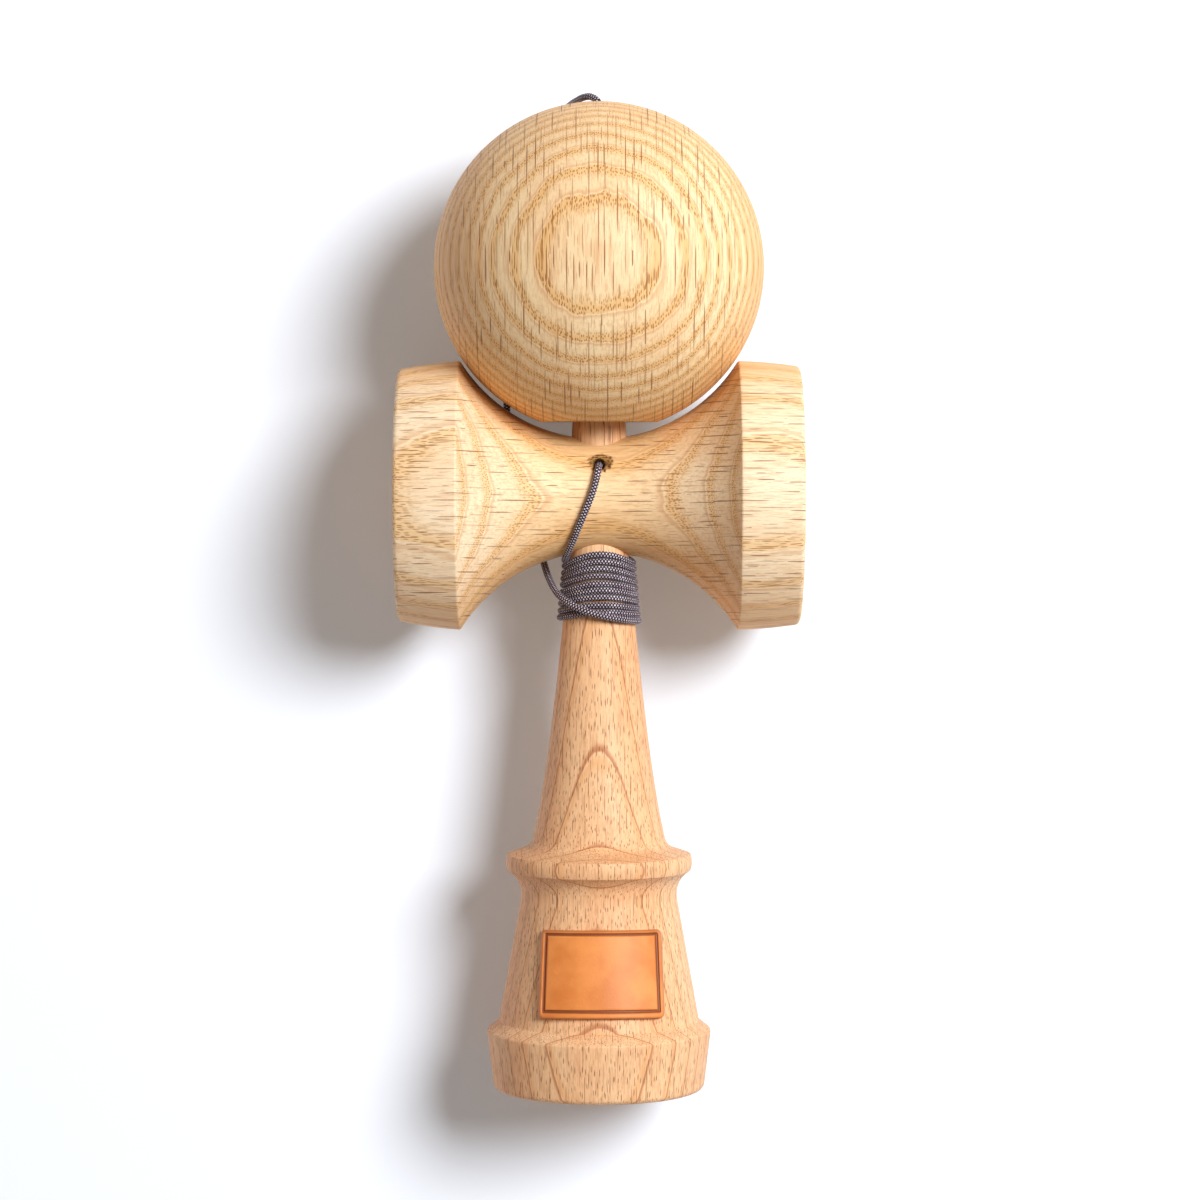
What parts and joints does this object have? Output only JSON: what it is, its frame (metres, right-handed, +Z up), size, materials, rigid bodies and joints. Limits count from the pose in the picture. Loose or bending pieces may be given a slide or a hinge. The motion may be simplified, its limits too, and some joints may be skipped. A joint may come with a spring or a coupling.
{
  "type": "kendama",
  "caption": "Wooden kendama lying flat: turned handle with spike and base cup, cross piece with a cup at each end, bored ball set on the spike, string wound round the neck, leather patch.",
  "frame": {"origin": "on the table, under the middle of the box round the wooden pieces", "axes": "+X towards the small cup, +Y along the handle towards the ball, +Z up from the table"},
  "size_m": [0.0734, 0.1834, 0.06],
  "materials": {
    "handle_wood": "bare oak, fine sanded, grain along the handle",
    "cross_wood": "bare oak, fine sanded, grain along the cross piece",
    "ball_wood": "bare oak, fine sanded, grain along the bore",
    "leather": "vegetable-tanned leather, smooth, slight gloss, pressed border line",
    "string": "tight braided cord, slight sheen",
    "bead_wood": "plain turned wood"
  },
  "bodies": {
    "ken": {"ken": "handle_wood", "sarado": "cross_wood", "leather_patch": "leather", "ken_knot": "string", "string_lead": "string", "string_winding": "string", "string_run": "string"},
    "bead": {"string_bead": "bead_wood", "ball_knot": "string", "string_end": "string"},
    "tama": {"tama": "ball_wood"}
  },
  "joints": [
    {"name": "ball_lift", "type": "slide", "parent": "ken", "child": "bead", "axis": [0, 0.9991, 0.0413], "range_m": [0, 0.045], "deforming": ["string_run"]},
    {"name": "ball_spin", "type": "hinge", "parent": "bead", "child": "tama", "pos_m": [0, 0.06058, 0.03], "axis": [0, 0.9991, 0.0413], "continuous": true}
  ]
}
